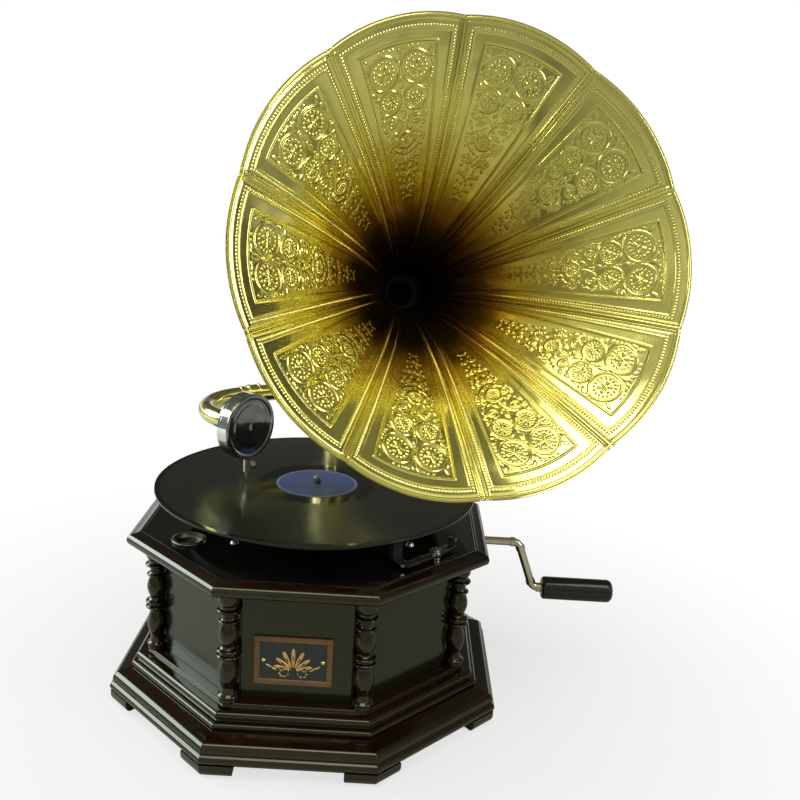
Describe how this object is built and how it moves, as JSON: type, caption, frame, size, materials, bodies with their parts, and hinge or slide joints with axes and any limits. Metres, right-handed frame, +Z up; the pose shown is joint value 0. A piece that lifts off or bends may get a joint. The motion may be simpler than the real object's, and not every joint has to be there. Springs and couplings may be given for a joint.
{
  "type": "record player",
  "caption": "Wind-up record player: octagonal case with corner columns, turntable with record, swinging tone arm with sound box, large petalled horn on an elbow, side crank and spring motor.",
  "frame": {"origin": "on the ground, on the turntable spindle's axis", "axes": "+X right, towards the crank; +Y back, towards the bracket; +Z up along the spindle"},
  "size_m": [0.5161, 0.394, 0.6347],
  "materials": {
    "wood_dark": "high gloss dark lacquer",
    "wood_panel": "gloss dark lacquer",
    "board_black": "high gloss black lacquer",
    "pine": "plain",
    "brass_horn": "polished, embossed",
    "brass": "polished",
    "brass_gear": "machined",
    "chrome": "polished",
    "nickel": "nickel plated",
    "steel": "machined",
    "spring_steel": "blued",
    "plate_steel": "pressed",
    "platter_paint": "satin",
    "felt_green": "felt",
    "felt_red": "felt",
    "shellac": "pressed and grooved",
    "paper": "printed paper",
    "plaque_enamel": "enamelled",
    "rubber": "soft",
    "gasket": "soft",
    "mica": "thin sheet",
    "handle_paint": "gloss dark green"
  },
  "bodies": {
    "case": {"feet": "wood_dark", "bottom_board": "pine", "plinth_moulding": "wood_dark", "step_moulding": "wood_dark", "wall_panels": "wood_panel", "front_panel": "wood_panel", "crank_panel": "wood_panel", "columns": "wood_dark", "top_moulding": "wood_dark", "top_board": "board_black", "front_plaque": "plaque_enamel", "plaque_pins": "brass", "needle_cup": "nickel", "back_bracket": "brass", "bracket_screws": "brass", "horn_clamp_screw": "nickel", "crank_bush": "brass", "crank_bearing": "plate_steel", "brake_screw": "steel", "bedplate": "plate_steel", "bottom_plate": "plate_steel", "pillars": "steel", "motor_bolts": "steel", "ratchet_pawl": "steel"},
    "turntable": {"platter": "platter_paint", "platter_felt": "felt_green", "record": "shellac", "record_label": "paper", "spindle": "steel", "spindle_gears": "brass_gear"},
    "tonearm": {"tone_arm": "brass", "pivot_ring": "steel", "ferrule": "brass"},
    "soundbox": {"gooseneck": "brass", "sound_box_back": "chrome", "isolator": "rubber", "sound_box_ring": "chrome", "gaskets": "gasket", "diaphragm": "mica", "sound_box_cap": "chrome", "needle_bar": "nickel", "needle_screw": "nickel", "needle": "steel"},
    "horn": {"horn_elbow": "brass", "horn_collar": "brass", "horn_petals": "brass_horn", "horn_seams": "brass_horn"},
    "crank": {"crank_rod": "nickel", "handle_rivet": "nickel", "winding_pinion": "steel"},
    "grip": {"crank_handle": "handle_paint"},
    "brake": {"brake_lever": "nickel", "brake_pad": "felt_red"},
    "barrel": {"spring_barrel": "brass_gear", "mainspring": "spring_steel"},
    "winder": {"winding_wheel": "brass_gear"},
    "intermediate": {"layshaft": "brass_gear"},
    "regulator": {"governor": "steel", "governor_springs": "spring_steel"},
    "speed": {"speed_screw": "nickel"}
  },
  "joints": [
    {"name": "turntable_spin", "type": "hinge", "parent": "case", "child": "turntable", "pos_m": [0, 0, 0.2], "axis": [0, 0, 1], "continuous": true},
    {"name": "tonearm_swing", "type": "hinge", "parent": "case", "child": "tonearm", "pos_m": [0, 0.17, 0.272], "axis": [0, 0, 1], "range_deg": [-38, 6]},
    {"name": "soundbox_tilt", "type": "hinge", "parent": "tonearm", "child": "soundbox", "pos_m": [0, 0.17, 0.258], "axis": [-0.8171, -0.5764, 0], "range_deg": [0, 30]},
    {"name": "horn_swivel", "type": "hinge", "parent": "case", "child": "horn", "pos_m": [0, 0.17, 0.282], "axis": [0, 0, 1], "range_deg": [-10, 10]},
    {"name": "crank_turn", "type": "hinge", "parent": "case", "child": "crank", "pos_m": [0.137, 0.025, 0.143], "axis": [1, 0, 0], "continuous": true},
    {"name": "grip_spin", "type": "hinge", "parent": "crank", "child": "grip", "pos_m": [0.25, 0.025, 0.095], "axis": [1, 0, 0], "continuous": true},
    {"name": "brake_swing", "type": "hinge", "parent": "case", "child": "brake", "pos_m": [0.115, -0.082, 0.17], "axis": [0, 0, 1], "range_deg": [0, 15]},
    {"name": "speed_screw_turn", "type": "hinge", "parent": "case", "child": "speed", "pos_m": [-0.0195, -0.057, 0.165], "axis": [0, 0, 1], "range_deg": [-150, 150]},
    {"name": "intermediate_turn", "type": "hinge", "parent": "case", "child": "intermediate", "pos_m": [0.02951, -0.02061, 0.112], "axis": [0, 0, 1], "continuous": true},
    {"name": "barrel_turn", "type": "hinge", "parent": "case", "child": "barrel", "pos_m": [0.062, 0.025, 0.107], "axis": [0, 0, 1], "continuous": true},
    {"name": "regulator_spin", "type": "hinge", "parent": "case", "child": "regulator", "pos_m": [-0.0195, 0, 0.1], "axis": [0, 1, 0], "continuous": true},
    {"name": "winder_turn", "type": "hinge", "parent": "case", "child": "winder", "pos_m": [0.062, 0.025, 0.13], "axis": [0, 0, 1], "continuous": true}
  ],
  "couplings": [
    {"joint": "intermediate_turn", "follows": "turntable_spin", "ratio": -0.2},
    {"joint": "barrel_turn", "follows": "turntable_spin", "ratio": 0.043478},
    {"joint": "regulator_spin", "follows": "turntable_spin", "ratio": 20},
    {"joint": "winder_turn", "follows": "crank_turn", "ratio": 0.33333}
  ]
}
